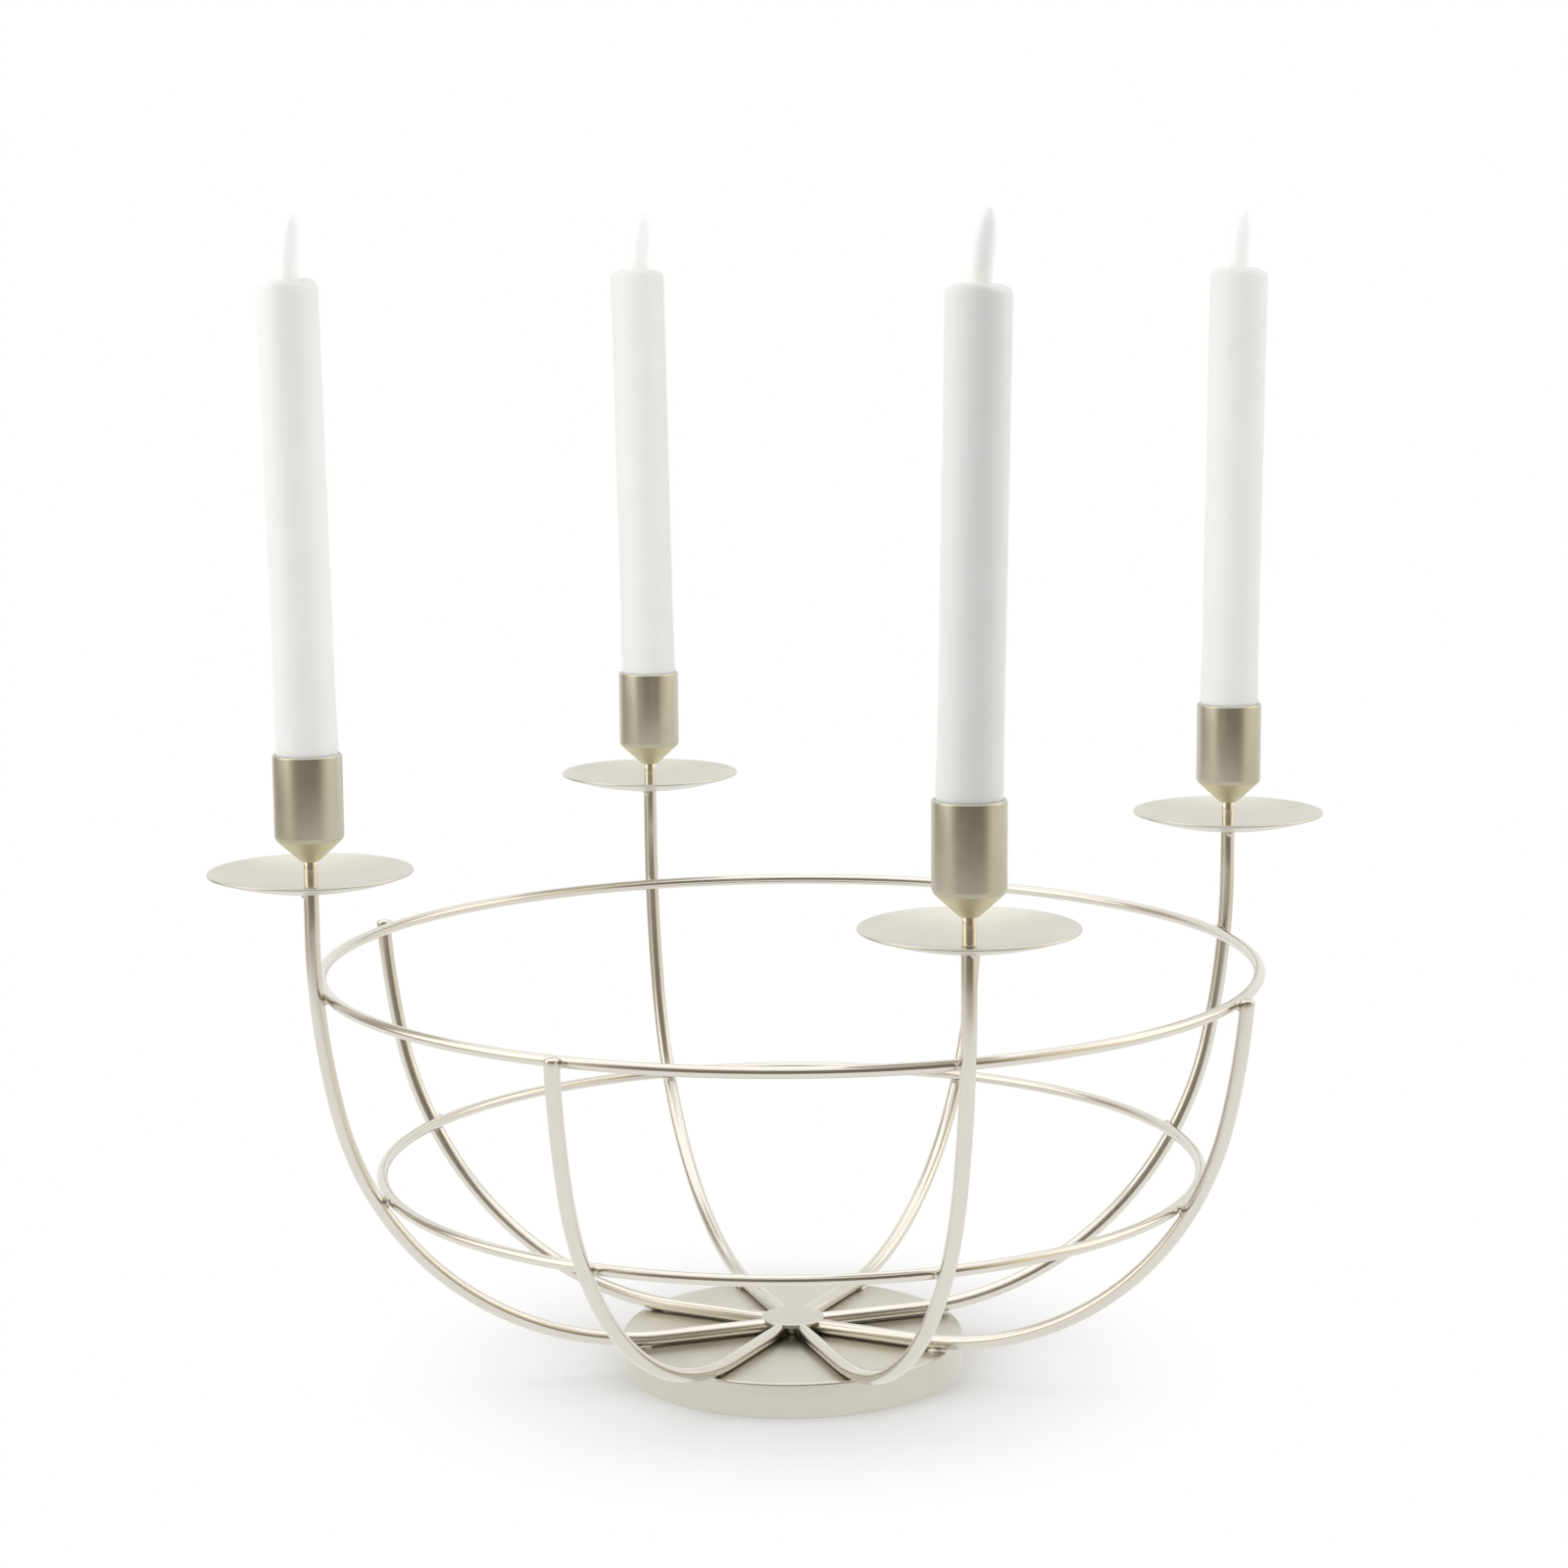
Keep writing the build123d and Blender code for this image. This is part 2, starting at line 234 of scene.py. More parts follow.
def champagne_steel(name, deep, pale, smoothest, roughest, cloud_size, grain_size):
    """A plated steel between two tints and two roughnesses, in clouds and grains of a given size."""
    grain_depth = 0.02 * mm
    finish, tree, shader, coords = new_finish(name)
    cloud = add_node(tree, "ShaderNodeTexNoise", {"Vector": coords, "Scale": 1 / cloud_size, "Detail": 3.0})
    grain = add_node(tree, "ShaderNodeTexNoise", {"Vector": coords, "Scale": 1 / grain_size, "Detail": 2.0})
    tint = add_node(tree, "ShaderNodeMix", {0: cloud.outputs[0], 6: colour(deep), 7: colour(pale)},
                    data_type="RGBA")
    sheen = add_node(tree, "ShaderNodeMapRange", {0: cloud.outputs[0], 3: smoothest, 4: roughest})
    bump = add_node(tree, "ShaderNodeBump", {"Height": grain.outputs[0], "Strength": 0.05,
                                             "Distance": grain_depth})
    fill_sockets(tree, shader, {"Metallic": 1.0, "Base Color": tint.outputs[2],
                                "Roughness": sheen.outputs[0], "Normal": bump.outputs[0]})
    return finish


sheet_cloud = 9.0 * mm
blast_grain = 0.3 * mm  # the real grain is nearer 0.05 mm and would not show in the picture
wire_cloud = 40.0 * mm
draw_wave = 3.0 * mm
satin_steel = champagne_steel("satin_champagne_steel", "#cdcabe", "#d6d4c9", 0.26, 0.34,
                              sheet_cloud, blast_grain)
drawn_wire = champagne_steel("drawn_champagne_wire", "#d8d3c7", "#e0dcd2", 0.16, 0.20,
                             wire_cloud, draw_wave)
wire_slot = satin_steel.name  # sheet and wire have one plating
print("Made finishes:", satin_steel.name, "and", drawn_wire.name)

# %% [markdown]
# ## The pressed foot
# The foot is a shallow pan, pressed from sheet with a rounded top edge and open below. A block with a
# groove could stand in for it, but the rounded edge catches the bright line that the eye reads as bent
# sheet. So a cylinder loses its bottom, its top edge is bevelled round, and Solidify gives the sheet its
# thickness inwards.

# %% Model the foot
foot_low, foot_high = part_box("base_pan")
foot_radius = (foot_high.x - foot_low.x) / 2
foot_sheet = 1.5 * mm
foot_edge = 0.9 * mm
foot_border = 4.0 * mm  # a ring of faces that keeps the round edge's shading off the flat top
foot_cut_edge = 0.3 * mm

fresh_start()
bpy.ops.mesh.primitive_cylinder_add(vertices=160, radius=foot_radius, depth=foot_high.z,
                                    location=(0, 0, foot_high.z / 2))
foot = open_piece("pressed_foot")
pick_faces(faces_down)
bpy.ops.mesh.delete(type="FACE")
pick_edges(lambda end: end.z > foot_high.z - touch)
bpy.ops.mesh.bevel(offset=foot_edge, segments=6, affect="EDGES")
pick_faces(faces_up)
bpy.ops.mesh.inset(thickness=foot_border)
use_modifier(foot, "SOLIDIFY", thickness=foot_sheet, offset=-1.0)
break_edges(foot, foot_cut_edge, 2)
finish_piece(foot, satin_steel, "holder", "base_pan")

# %% [markdown]
# ## The hub
# Where the eight ribs meet, a small disc covers the middle. It stands on a narrower post, so a dark gap
# shows below its edge between the wires. A flat cylinder is bevelled, and the post is its lower face,
# inset and extruded down to the foot.

# %% Model the hub
hub_low, hub_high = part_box("hub_disc")
hub_edge = 0.4 * mm
hub_plate = 1.5 * mm
hub_border = 1.5 * mm
post_inset = 5.0 * mm
post_height = hub_high.z - hub_plate - hub_low.z

fresh_start()
bpy.ops.mesh.primitive_cylinder_add(vertices=96, radius=hub_high.x, depth=hub_plate,
                                    location=(0, 0, hub_high.z - hub_plate / 2))
hub = open_piece("hub_button")
pick_faces(faces_up)
bpy.ops.mesh.inset(thickness=hub_border)
pick_faces(faces_down)
bpy.ops.mesh.inset(thickness=post_inset)
extrude((0, 0, -post_height))
break_edges(hub, hub_edge, 3)
finish_piece(hub, satin_steel, "holder", "hub_disc")

# %% [markdown]
# ## The ribs
# A rib is one length of round wire, bent cold: a straight run over the foot, a tight bend for the bowl, a
# wide bend for its wall, and on the long ribs a straight stem. A curve with a bevel would do, but spin is
# the same move as the bending tool, so the wire is a disc that is extruded and then spun about the centre
# of each bend. The cut ends are rounded: slightly on the stems, where the dishes cover them, and more on
# the short ribs, whose ends show. One rib of each kind is modelled and then copied round the bowl.

# %% Helpers for wires and copies


def close_skin(gap=touch):
    """Merge the doubled points of the piece in edit mode and turn all its faces outwards."""
    bpy.ops.mesh.select_all(action="SELECT")
    bpy.ops.mesh.remove_doubles(threshold=gap)
    bpy.ops.mesh.normals_make_consistent(inside=False)


def turned_copy(piece, name, angle):
    """Copy a piece with a mesh of its own, turned round the world's upright axis."""
    fresh_start()
    copy = piece.copy()
    copy.data = piece.data.copy()
    copy.name = name
    copy.data.name = name
    bpy.context.collection.objects.link(copy)
    hold(copy)
    copy.rotation_euler.z = angle
    bpy.ops.object.transform_apply()
    return copy


def finish_four(model, name, finish, node, **options):
    """Copy a model to its four places and finish each copy, numbered as the CAD nodes are."""
    for place in places:
        piece = turned_copy(model, f"{name}_{place}", (place - 1) * quarter)
        finish_piece(piece, finish, "holder", f"{node}_{place}", **options)
    bpy.data.objects.remove(model)


# %% Bends of a rib, from the sizes and the rings
upper_low, upper_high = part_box("upper_ring")
lower_low, lower_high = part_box("lower_ring")
bowl_centre = Vector((run_end, 0, run_height + bowl_bend))
bowl_end = bowl_centre + bowl_bend * Vector((sin(bowl_angle), 0, -cos(bowl_angle)))
wall_centre = bowl_end - wall_bend * Vector((sin(bowl_angle), 0, -cos(bowl_angle)))
short_rise = 0.3 * mm  # how far a short rib stands above the upper ring
short_top = upper_high.z + short_rise
short_angle = quarter - asin((wall_centre.z - short_top) / wall_bend)
run_start = 7.5 * mm  # the runs go on below the hub's plate, so that no cut end shows in the gap
print("The bowl's bend ends at a height of", round(bowl_end.z / mm, 1), "mm")

# %% Model a long and a short rib
rib_sides = 32
bowl_steps = 40
wall_steps = 14
stem_edge = 0.8 * mm
nub_edge = 1.1 * mm


def bent_wire(name, last_angle, stem_length, cut_edge):
    """Bend one rib in the XZ plane, up to an angle from level and then straight on."""
    fresh_start()
    bpy.ops.mesh.primitive_circle_add(vertices=rib_sides, radius=rib_radius, fill_type="NGON",
                                      location=(run_start, 0, run_height), rotation=(0, quarter, 0))
    rib = open_piece(name)
    bpy.ops.mesh.select_all(action="SELECT")
    extrude((run_end - run_start, 0, 0))
    bpy.ops.mesh.spin(steps=bowl_steps, angle=bowl_angle, center=bowl_centre, axis=(0, 1, 0))
    bpy.ops.mesh.spin(steps=wall_steps, angle=last_angle - bowl_angle, center=wall_centre,
                      axis=(0, 1, 0))
    if stem_length:
        extrude((0, 0, stem_length))
    close_skin()
    break_edges(rib, cut_edge, 5)
    return rib


long_rib = bent_wire("bent_long_rib", quarter, rib_high.z - wall_centre.z, stem_edge)
short_rib = bent_wire("bent_short_rib", short_angle, 0, nub_edge)
diagonal_rib = turned_copy(short_rib, "bent_diagonal_rib", quarter / 2)
bpy.data.objects.remove(short_rib)
finish_four(long_rib, "bent_long_rib", drawn_wire, "long_rib", slot=wire_slot)
finish_four(diagonal_rib, "bent_short_rib", drawn_wire, "short_rib", slot=wire_slot)

# %% [markdown]
# ## The rings
# Each ring is thinner wire, rolled into a hoop and welded shut. A torus primitive has that shape too. Here
# the wire's round section is spun about the bowl's axis, which is the path of the wire through the rolls,
# and one function makes both hoops.

# %% Model the two rings
ring_sides = 28
ring_steps = 200


def rolled_hoop(name, low, high):
    """Spin the section of the ring wire round the bowl, at the place of a CAD ring."""
    fresh_start()
    bpy.ops.mesh.primitive_circle_add(vertices=ring_sides, radius=ring_radius, rotation=(quarter, 0, 0),
                                      location=(high.y - ring_radius, 0, (low.z + high.z) / 2))
    hoop = open_piece(name)
    bpy.ops.mesh.select_all(action="SELECT")
    bpy.ops.mesh.spin(steps=ring_steps, angle=2 * pi, center=(0, 0, 0), axis=(0, 0, 1))
    close_skin()
    return hoop


upper_hoop = rolled_hoop("upper_hoop", upper_low, upper_high)
finish_piece(upper_hoop, drawn_wire, "holder", "upper_ring", slot=wire_slot)
lower_hoop = rolled_hoop("lower_hoop", lower_low, lower_high)
finish_piece(lower_hoop, drawn_wire, "holder", "lower_ring", slot=wire_slot)

# %% [markdown]
# ## The weld beads
# Where wire meets wire, a little metal was melted into the corner and plated over. Each bead is small and
# no two are alike. A ball is flattened into the corner, its points are shaken by a seeded random move and
# smoothed again, and the beads of one seam are joined into one piece.

# %% Weld beads at the rings
bead_shake = 0.45 * mm
ring_bead = (1.3 * mm, 3.0 * mm, 2.3 * mm)
rib_turns = [step * quarter / 2 for step in range(8)]


def weld_seam(name, spots, size, seed):
    """Put one bead at each spot, given as a point and a turn, and join them."""
    beads = []
    for number, (point, turn) in enumerate(spots):
        fresh_start()
        bpy.ops.mesh.primitive_ico_sphere_add(subdivisions=3, radius=1.0, location=point,
                                              rotation=(0, 0, turn))
        bead = bpy.context.object
        bead.scale = size
        open_piece(f"{name}_{number}")
        bpy.ops.mesh.select_all(action="SELECT")
        bpy.ops.transform.vertex_random(offset=bead_shake, uniform=0.3, normal=0.6, seed=seed + number)
        bpy.ops.mesh.vertices_smooth(factor=0.6, repeat=3)
        bpy.ops.object.mode_set(mode="OBJECT")
        beads.append(bead)
    fresh_start()
    for bead in beads:
        bead.select_set(True)
    bpy.context.view_layer.objects.active = beads[0]
    bpy.ops.object.join()
    beads[0].name = name
    finish_piece(beads[0], satin_steel, "holder", crease=180)


def ring_spots(low, high):
    """The eight points where a ring touches the ribs, each with the turn of its rib."""
    reach = high.y
    height = (low.z + high.z) / 2
    return [(Vector((reach * cos(turn), reach * sin(turn), height)), turn) for turn in rib_turns]


weld_seam("upper_ring_welds", ring_spots(upper_low, upper_high), ring_bead, seed=11)
weld_seam("lower_ring_welds", ring_spots(lower_low, lower_high), ring_bead, seed=31)

# %% [markdown]
# ## Beads at the foot and under the dishes
# Each rib is tacked to the foot near the foot's edge, on alternate sides, and a small bead shows in the
# corner where a stem meets its dish. The same function sets these beads, at spots worked out from the
# ribs. On the stems the angle of a bead is counted from the camera, because the photo shows it that way.

# %% Weld beads at the foot and under the dishes
photo_turn = radians(18.868)  # how far the camera stands from the -Y side, towards -X
foot_bead = (3.2 * mm, 1.2 * mm, 1.0 * mm)
foot_bead_reach = 57.5 * mm
foot_bead_aside = 2.1 * mm
foot_bead_lift = 0.3 * mm
stem_bead = (1.0 * mm, 1.5 * mm, 1.3 * mm)
stem_bead_drop = 1.4 * mm
stem_bead_angles = {1: radians(10), 2: radians(-35), 3: radians(-55), 4: radians(30)}


def foot_spots():
    """A bead beside each rib near the edge of the foot, on alternate sides."""
    spots = []
    for step, turn in enumerate(rib_turns):
        aside = foot_bead_aside * (-1) ** step
        along = Vector((cos(turn), sin(turn), 0))
        across = Vector((-sin(turn), cos(turn), 0))
        above = Vector((0, 0, foot_high.z + foot_bead_lift))
        spots.append((foot_bead_reach * along + aside * across + above, turn))
    return spots


def stem_spots():
    """A bead in the corner between each stem and its dish."""
    spots = []
    for place, angle in stem_bead_angles.items():
        turn = (place - 1) * quarter
        facing = angle - photo_turn - quarter
        middle = Vector((stem_place * cos(turn), stem_place * sin(turn), rib_high.z - stem_bead_drop))
        spots.append((middle + rib_radius * Vector((cos(facing), sin(facing), 0)), facing))
    return spots


weld_seam("foot_welds", foot_spots(), foot_bead, seed=53)
weld_seam("stem_welds", stem_spots(), stem_bead, seed=71)

# %% [markdown]
# ## The drip dishes
# A drip dish is a disc of thin sheet, pressed over a large ball, so it is part of a sphere. A sphere is
# cut off at the height of the rim, the middle is opened for the screw, and Solidify makes the sheet. A
# bevel of nearly half the sheet's thickness then rounds the cut rim.

# %% Model a dish
dish_low, dish_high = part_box("drip_dish_1")
dish_sheet = 0.9 * mm
dish_edge = 0.42 * mm
dish_bowl = 104.0 * mm
dish_radius = (dish_high.x - dish_low.x) / 2 * dish_bowl / (dish_bowl + dish_sheet)
dish_floor = dish_low.z + dish_sheet
dish_rise = dish_bowl - sqrt(dish_bowl ** 2 - dish_radius ** 2)
screw_room = 1.7 * mm
stem_axis = Vector((stem_place, 0))

fresh_start()
bpy.ops.mesh.primitive_uv_sphere_add(segments=128, ring_count=160, radius=dish_bowl,
                                     location=(stem_place, 0, dish_floor + dish_bowl))
dish = open_piece("pressed_dish")
bpy.ops.mesh.select_all(action="SELECT")
bpy.ops.mesh.bisect(plane_co=(0, 0, dish_floor + dish_rise), plane_no=(0, 0, 1), clear_outer=True)
pick_faces(lambda middle, normal: (middle.xy - stem_axis).length < screw_room)
bpy.ops.mesh.delete(type="FACE")
bpy.ops.mesh.select_all(action="SELECT")
bpy.ops.mesh.normals_make_consistent(inside=False)
use_modifier(dish, "SOLIDIFY", thickness=dish_sheet, offset=-1.0)
break_edges(dish, dish_edge, 5)
finish_four(dish, "pressed_dish", satin_steel, "drip_dish")

# %% [markdown]
# ## Turned champagne steel
# The cups are turned on a lathe and plated like the wires. The tool leaves rings so fine that they only
# blur reflections up and down, which is why a cup shows soft upright stripes. A wave of rings up the cup,
# as bump, gives that blur. The cone below is duller than the side, so roughness changes at the corner, by
# height. Its tint also turns paler there, as painted light: the light that the dish throws on the cone.

# %% Sizes of a cup
cup_wall = 1.0 * mm
cup_floor = 1.3 * mm
cone_height = 8.0 * mm
cone_tip = 3.15 * mm
rim_edge = 0.8 * mm
corner_edge = 1.2 * mm
cup_radius = (cup_high.x - cup_low.x) / 2
side_foot = cup_low.z + cone_height
side_height = cup_high.z - side_foot
print("A cup's cone is", round(cone_height / mm, 1), "mm high, its side", round(side_height / mm, 1), "mm")

# %% Finish: turned champagne cup


def turned_champagne_cup():
    """Plated steel with turning rings; the cone is duller, and paler as painted light from the dish."""
    tool_step = 0.35 * mm  # the real feed is nearer 0.1 mm, drawn coarser so that it still shows
    ring_depth = 0.02 * mm
    cloud_size = 6.0 * mm
    cone_roughness = 0.22  # added to the roughness of the side
    finish, tree, shader, coords = new_finish("turned_champagne_cup")
    # at scale 1 the rings of a wave texture lie 2 pi / 20 apart
    rings = add_node(tree, "ShaderNodeTexWave", {"Vector": coords, "Scale": 2 * pi / tool_step / 20,
                                                 "Distortion": 0.6, "Detail": 2.0},
                     bands_direction="Z")
    cloud = add_node(tree, "ShaderNodeTexNoise", {"Vector": coords, "Scale": 1 / cloud_size, "Detail": 3.0})
    plating = add_node(tree, "ShaderNodeMix", {0: cloud.outputs[0], 6: colour("#c2bfae"),
                                               7: colour("#cbc8b8")}, data_type="RGBA")
    height = add_node(tree, "ShaderNodeSeparateXYZ", {0: coords}).outputs["Z"]
    on_cone = add_node(tree, "ShaderNodeMapRange", {0: height, 1: side_foot, 2: side_foot - corner_edge})
    # the paler tint on the cone is painted light, for the dish's light thrown on it
    tint = add_node(tree, "ShaderNodeMix", {0: on_cone.outputs[0], 6: plating.outputs[2],
                                            7: colour("#ece6cf")}, data_type="RGBA")
    smooth = add_node(tree, "ShaderNodeMapRange", {0: cloud.outputs[0], 3: 0.26, 4: 0.34})
    sheen = add_node(tree, "ShaderNodeMath", {0: on_cone.outputs[0], 1: cone_roughness,
                                              2: smooth.outputs[0]}, operation="MULTIPLY_ADD")
    bump = add_node(tree, "ShaderNodeBump", {"Height": rings.outputs["Fac"], "Strength": 0.12,
                                             "Distance": ring_depth})
    fill_sockets(tree, shader, {"Metallic": 1.0, "Base Color": tint.outputs[2],
                                "Roughness": sheen.outputs[0], "Normal": bump.outputs[0]})
    return finish


cup_steel = turned_champagne_cup()
print("Made finish:", cup_steel.name)

# %% [markdown]
# ## The cups
# On the lathe a cup is bored out from above and tapered to a cone below. A profile could be spun, as the
# rings were, but a cylinder stands for the bar just as well: its top is inset and pushed down as the bore,
# its bottom is extruded and shrunk to the tip of the cone, and the corner and the rim are bevelled round.

# %% Model a cup
fresh_start()
bpy.ops.mesh.primitive_cylinder_add(vertices=128, radius=cup_radius, depth=side_height,
                                    location=(stem_place, 0, (cup_high.z + side_foot) / 2))
cup = open_piece("turned_cup")
pick_faces(faces_up)
bpy.ops.mesh.inset(thickness=cup_wall)
extrude((0, 0, cup_floor - side_height))
pick_faces(faces_down)
extrude((0, 0, -cone_height))
bpy.ops.transform.resize(value=(cone_tip / cup_radius, cone_tip / cup_radius, 1),
                         center_override=(stem_place, 0, cup_low.z))
pick_edges(lambda end: abs(end.z - side_foot) < touch)
bpy.ops.mesh.bevel(offset=corner_edge, segments=5, affect="EDGES")
pick_edges(lambda end: end.z > cup_high.z - touch and (end.xy - stem_axis).length > cup_radius - touch)
bpy.ops.mesh.bevel(offset=rim_edge, segments=5, affect="EDGES")
finish_four(cup, "turned_cup", cup_steel, "candle_cup", crease=20)

# %% [markdown]
# ## Polished brass necks
# Between dish and cup sits a short length of brass tube, polished bright. It mirrors its surroundings in
# clear upright stripes of cream and brown. A metal with a low roughness does that, with a little noise in
# the roughness for the traces of the polishing wheel.

# %% Finish: polished brass neck


def polished_brass_neck():
    """Bright brass with traces of the polishing wheel."""
    wheel_trace = 0.8 * mm
    finish, tree, shader, coords = new_finish("polished_brass_neck")
    trace = add_node(tree, "ShaderNodeTexNoise", {"Vector": coords, "Scale": 1 / wheel_trace,
                                                  "Detail": 3.0})
    tint = add_node(tree, "ShaderNodeMix", {0: trace.outputs[0], 6: colour("#ece2cc"),
                                            7: colour("#f5eddc")}, data_type="RGBA")
    sheen = add_node(tree, "ShaderNodeMapRange", {0: trace.outputs[0], 3: 0.08, 4: 0.16})
    fill_sockets(tree, shader, {"Metallic": 1.0, "Base Color": tint.outputs[2],
                                "Roughness": sheen.outputs[0]})
    return finish


neck_brass = polished_brass_neck()
print("Made finish:", neck_brass.name)

# %% Model a neck
neck_low, neck_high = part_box("neck_sleeve_1")
neck_radius = (neck_high.x - neck_low.x) / 2
neck_wall = 0.75 * mm
neck_edge = 0.2 * mm

fresh_start()
bpy.ops.mesh.primitive_cylinder_add(vertices=64, radius=neck_radius, depth=neck_high.z - neck_low.z,
                                    end_fill_type="NOTHING",
                                    location=(stem_place, 0, (neck_low.z + neck_high.z) / 2))
neck = open_piece("brass_neck")
use_modifier(neck, "SOLIDIFY", thickness=neck_wall, offset=-1.0)
break_edges(neck, neck_edge, 2)
finish_four(neck, "brass_neck", neck_brass, "neck_sleeve")

# %% [markdown]
# ## White wax
# A battery candle is a plastic tube dipped in white paraffin wax. Light enters the wax a little way, so
# its shaded side stays soft and pale, and the surface is silky with slight dents from handling.
# Subsurface scattering over a few millimetres gives the softness, and two noises give dents and pores.

# %% Finish: dipped white wax


def white_wax():
    """Pale wax that light enters, with wide dents and fine pores."""
    dent_size = 14.0 * mm
    dent_depth = 0.6 * mm
    pore_size = 1.2 * mm
    pore_depth = 0.05 * mm
    light_reach = 3.0 * mm
    finish, tree, shader, coords = new_finish("white_wax")
    dents = add_node(tree, "ShaderNodeTexNoise", {"Vector": coords, "Scale": 1 / dent_size, "Detail": 2.0})
    pores = add_node(tree, "ShaderNodeTexNoise", {"Vector": coords, "Scale": 1 / pore_size, "Detail": 3.0})
    tint = add_node(tree, "ShaderNodeMix", {0: dents.outputs[0], 6: colour("#f1f1ee"),
                                            7: colour("#f8f8f6")}, data_type="RGBA")
    sheen = add_node(tree, "ShaderNodeMapRange", {0: pores.outputs[0], 3: 0.38, 4: 0.52})
    wide = add_node(tree, "ShaderNodeBump", {"Height": dents.outputs[0], "Strength": 0.15,
                                             "Distance": dent_depth})
    fine = add_node(tree, "ShaderNodeBump", {"Height": pores.outputs[0], "Strength": 0.1,
                                             "Distance": pore_depth, "Normal": wide.outputs[0]})
    fill_sockets(tree, shader, {"Base Color": tint.outputs[2], "Roughness": sheen.outputs[0],
                                "Normal": fine.outputs[0], "IOR": 1.44, "Subsurface Weight": 0.5,
                                "Subsurface Radius": (1.0, 0.95, 0.9),
                                "Subsurface Scale": light_reach})
    return finish


wax = white_wax()
print("Made finish:", wax.name)

# %% [markdown]
# ## The candle bodies
# The top of a dipped candle is never a clean cut: its shoulder is rounded, the top is slightly hollow
# round the flame, and the rim sags here and there. Towards the cup the wax is a little thicker. A cylinder
# is cut at two heights and widened below the lower one, a bevel makes the shoulder, the top is inset and
# lowered in steps, and soft pushes with proportional editing make it uneven. The body is modelled on the
# world's axis, so that each copy can be turned before it goes to its cup.

# %% Model a candle body
body_low, body_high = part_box("candle_body_1")
wax_foot_radius = (body_high.x - body_low.x) / 2
foot_swell = 0.25 * mm
body_radius = wax_foot_radius - foot_swell
flare = wax_foot_radius / body_radius
flare_lift = 1.0 * mm
flare_length = 15.0 * mm
flare_foot = cup_high.z + flare_lift
flare_top = flare_foot + flare_length
top_room = 0.3 * mm  # the top stays this far below the CAD top
body_top = body_high.z - top_room
shoulder = 2.6 * mm
hollow = 1.5 * mm
hollow_steps = 3
hollow_inset = 1.4 * mm

fresh_start()
bpy.ops.mesh.primitive_cylinder_add(vertices=64, radius=body_radius, depth=body_top - body_low.z,
                                    location=(0, 0, (body_top + body_low.z) / 2))
body = open_piece("wax_body")
for height in (flare_top, flare_foot):
    bpy.ops.mesh.select_all(action="SELECT")
    bpy.ops.mesh.bisect(plane_co=(0, 0, height), plane_no=(0, 0, 1))
pick_edges(lambda end: end.z < flare_foot + touch)
bpy.ops.transform.resize(value=(flare, flare, 1), center_override=(0, 0, flare_foot))
pick_edges(lambda end: end.z > body_top - touch)
bpy.ops.mesh.bevel(offset=shoulder, segments=7, affect="EDGES")
pick_faces(faces_up)
for step in range(hollow_steps):
    bpy.ops.mesh.inset(thickness=hollow_inset)
    bpy.ops.transform.translate(value=(0, 0, -hollow / hollow_steps))
print("A wax body is", round((body_top - body_low.z) / mm, 1), "mm long")

# %% Make the top of the body uneven
push_spot = 1.6 * mm
wax_edge = 0.5 * mm


def push_top(x, y, reach, move):
    """Push the wax near a point of the top, softly, with everything within reach following."""
    near = Vector((x, y))
    pick_faces(lambda middle, normal: (middle.z > body_top - shoulder
                                       and (middle.xy - near).length < push_spot))
    bpy.ops.transform.translate(value=move, use_proportional_edit=True, proportional_size=reach,
                                proportional_edit_falloff="SMOOTH")


# two sides of the rim sag and move the same way, and one dent lies towards the front
push_top(-body_radius, 0, 9.0 * mm, (-0.5 * mm, 0, -0.9 * mm))
push_top(body_radius, 0, 9.0 * mm, (-0.4 * mm, 0, -1.0 * mm))
push_top(6.0 * mm, -7.0 * mm, 5.0 * mm, (-0.3 * mm, 0.3 * mm, -0.8 * mm))
break_edges(body, wax_edge, 3, sharp=50)
print("The uneven body has", len(body.data.polygons), "faces")

# %% [markdown]
# ## Four candles, each a little different
# In the photo no candle stands quite upright, no two tops look quite alike, and the front candle is
# shorter. Each copy is turned about its own axis and then leans from the mouth of its cup upwards, so that
# its foot still sits straight in the bore. The lean is a turn about the line of sight, which is none of
# the three axes, so a short loop turns the points above the mouth by a matrix.

# %% Place the candle bodies
view_axis = Vector((sin(photo_turn), cos(photo_turn), 0))
candle_leans = {1: radians(0.5), 2: radians(-0.7), 3: radians(-0.7), 4: radians(1.2)}
candle_turns = {1: radians(160), 2: radians(12), 3: radians(-8), 4: 0.0}
short_candle = 4
short_cut = 1.5 * mm
top_end = 6.0 * mm


def to_place(model, name, place, turn):
    """Copy a model from the world's axis to one candle place, turned about its own axis and leaning."""
    copy = turned_copy(model, name, turn)
    angle = (place - 1) * quarter
    mouth = Vector((0, 0, cup_high.z))
    lean = Matrix.Rotation(candle_leans[place], 3, view_axis)
    for point in copy.data.vertices:
        if point.co.z > mouth.z:
            point.co = mouth + lean @ (point.co - mouth)
    copy.location = (stem_place * cos(angle), stem_place * sin(angle), 0)
    bpy.ops.object.transform_apply()
    return copy


def lower_top(piece, cut):
    """Shorten one candle by moving its whole top end down."""
    hold(piece)
    bpy.ops.object.mode_set(mode="EDIT")
    pick_edges(lambda end: end.z > body_top - top_end)
    bpy.ops.transform.translate(value=(0, 0, -cut))


for place, turn in candle_turns.items():
    piece = to_place(body, f"wax_body_{place}", place, turn - photo_turn)
    if place == short_candle:
        lower_top(piece, short_cut)
    finish_piece(piece, wax, f"candle_{place}", f"candle_body_{place}", crease=50)
bpy.data.objects.remove(body)
